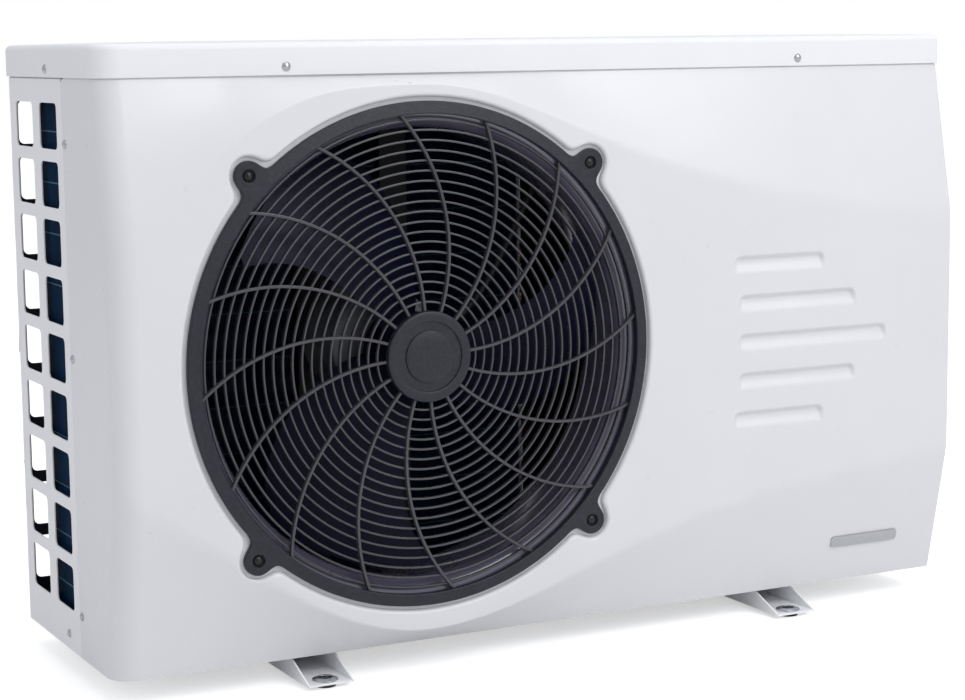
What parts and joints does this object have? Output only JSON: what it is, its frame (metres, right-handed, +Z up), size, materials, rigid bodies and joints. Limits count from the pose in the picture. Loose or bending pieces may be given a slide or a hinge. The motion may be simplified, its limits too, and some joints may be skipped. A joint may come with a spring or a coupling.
{
  "type": "pool heat pump",
  "caption": "Free-standing pool heat pump: white cabinet with a large round fan grille, side air coil behind a grid of openings, foot rails and water unions.",
  "frame": {"origin": "centre of the four foot bolt holes, on the ground", "axes": "+X to the right seen from the front, +Y to the back (the fan blows to -Y), +Z up"},
  "size_m": [1.0786, 0.37, 0.652],
  "materials": {
    "white_shell": "moulded, soft gloss",
    "white_paint": "powder coat",
    "grille_black": "fine moulded texture",
    "fan_navy": "moulded, dark",
    "shroud_grey": "smooth, dark purple grey",
    "zinc": "zinc plated",
    "screw_steel": "bright",
    "black_screw": "black oxide",
    "rubber_black": "matte",
    "badge_metal": "satin",
    "fin_blue": "coated fins",
    "copper": "copper tube",
    "brass": "machined",
    "black_paint": "satin black",
    "steel": "machined",
    "motor_grey": "painted casting",
    "winding": "varnished copper and laminations",
    "nylon": "nylon",
    "solenoid_blue": "moulded coil",
    "dark_plastic": "moulded",
    "pvc_grey": "grey pipe plastic",
    "titanium": "titanium tube",
    "board_green": "circuit board",
    "electrical": "mixed housings",
    "cable_black": "sheathed"
  },
  "bodies": {
    "cabinet": {"base_pan": "white_paint", "foot_rail_left": "zinc", "foot_rail_right": "zinc", "rubber_feet": "rubber_black", "foot_washers": "zinc", "rail_bolts": "screw_steel", "front_panel": "white_shell", "coil_guard": "white_paint", "right_side_panel": "white_paint", "back_panel": "white_paint", "top_lid": "white_paint", "partition_plate": "black_paint", "badge": "badge_metal", "cabinet_screws": "screw_steel", "side_handle": "dark_plastic", "wiring_cover": "white_shell", "cable_gland": "dark_plastic", "fan_grille": "grille_black", "grille_screws": "black_screw", "fan_shroud": "shroud_grey", "motor_housing": "motor_grey", "motor_bearings": "steel", "motor_stator": "winding", "motor_bracket": "black_paint", "motor_screws": "screw_steel", "coil_fins": "fin_blue", "coil_tubing": "copper", "coil_end_plates": "zinc", "compressor_shell": "black_paint", "compressor_stator": "winding", "compressor_pump": "steel", "compressor_mounts": "rubber_black", "compressor_bolts": "screw_steel", "terminal_cap": "dark_plastic", "accumulator": "black_paint", "reversing_valve": "brass", "valve_solenoid": "solenoid_blue", "expansion_valve": "brass", "filter_drier": "copper", "refrigerant_pipes": "copper", "exchanger_shell": "dark_plastic", "titanium_coil": "titanium", "water_pipes": "pvc_grey", "union_tails": "pvc_grey", "union_gaskets": "rubber_black", "flow_switch_body": "dark_plastic", "control_box": "zinc", "circuit_board": "board_green", "electrical_parts": "electrical", "wiring_and_drain": "cable_black"},
    "fan_rotor": {"fan_blades": "fan_navy", "fan_nut": "screw_steel", "motor_rotor": "steel"},
    "compressor_crank": {"compressor_rotor": "steel", "rolling_piston": "steel"},
    "valve_shuttle": {"valve_slider": "nylon"},
    "valve_needle": {"expansion_needle": "steel"},
    "inlet_nut": {"inlet_union_nut": "pvc_grey"},
    "outlet_nut": {"outlet_union_nut": "pvc_grey"},
    "switch_paddle": {"flow_paddle": "steel"}
  },
  "joints": [
    {"name": "fan_spin", "type": "hinge", "parent": "cabinet", "child": "fan_rotor", "pos_m": [-0.168, 0, 0.331], "axis": [0, -1, 0], "continuous": true},
    {"name": "compressor_spin", "type": "hinge", "parent": "cabinet", "child": "compressor_crank", "pos_m": [0.215, 0.01, 0.1], "axis": [0, 0, 1], "continuous": true},
    {"name": "valve_shift", "type": "slide", "parent": "cabinet", "child": "valve_shuttle", "axis": [1, 0, 0], "range_m": [0, 0.028]},
    {"name": "needle_lift", "type": "slide", "parent": "cabinet", "child": "valve_needle", "axis": [0, 0, 1], "range_m": [0, 0.0028]},
    {"name": "inlet_nut_turn", "type": "hinge", "parent": "cabinet", "child": "inlet_nut", "pos_m": [0.52, 0.06, 0.12], "axis": [1, 0, 0], "continuous": true},
    {"name": "outlet_nut_turn", "type": "hinge", "parent": "cabinet", "child": "outlet_nut", "pos_m": [0.52, 0.06, 0.34], "axis": [1, 0, 0], "continuous": true},
    {"name": "paddle_swing", "type": "hinge", "parent": "cabinet", "child": "switch_paddle", "pos_m": [0.472, 0.06, 0.15], "axis": [0, 1, 0], "range_deg": [0, 25]}
  ]
}
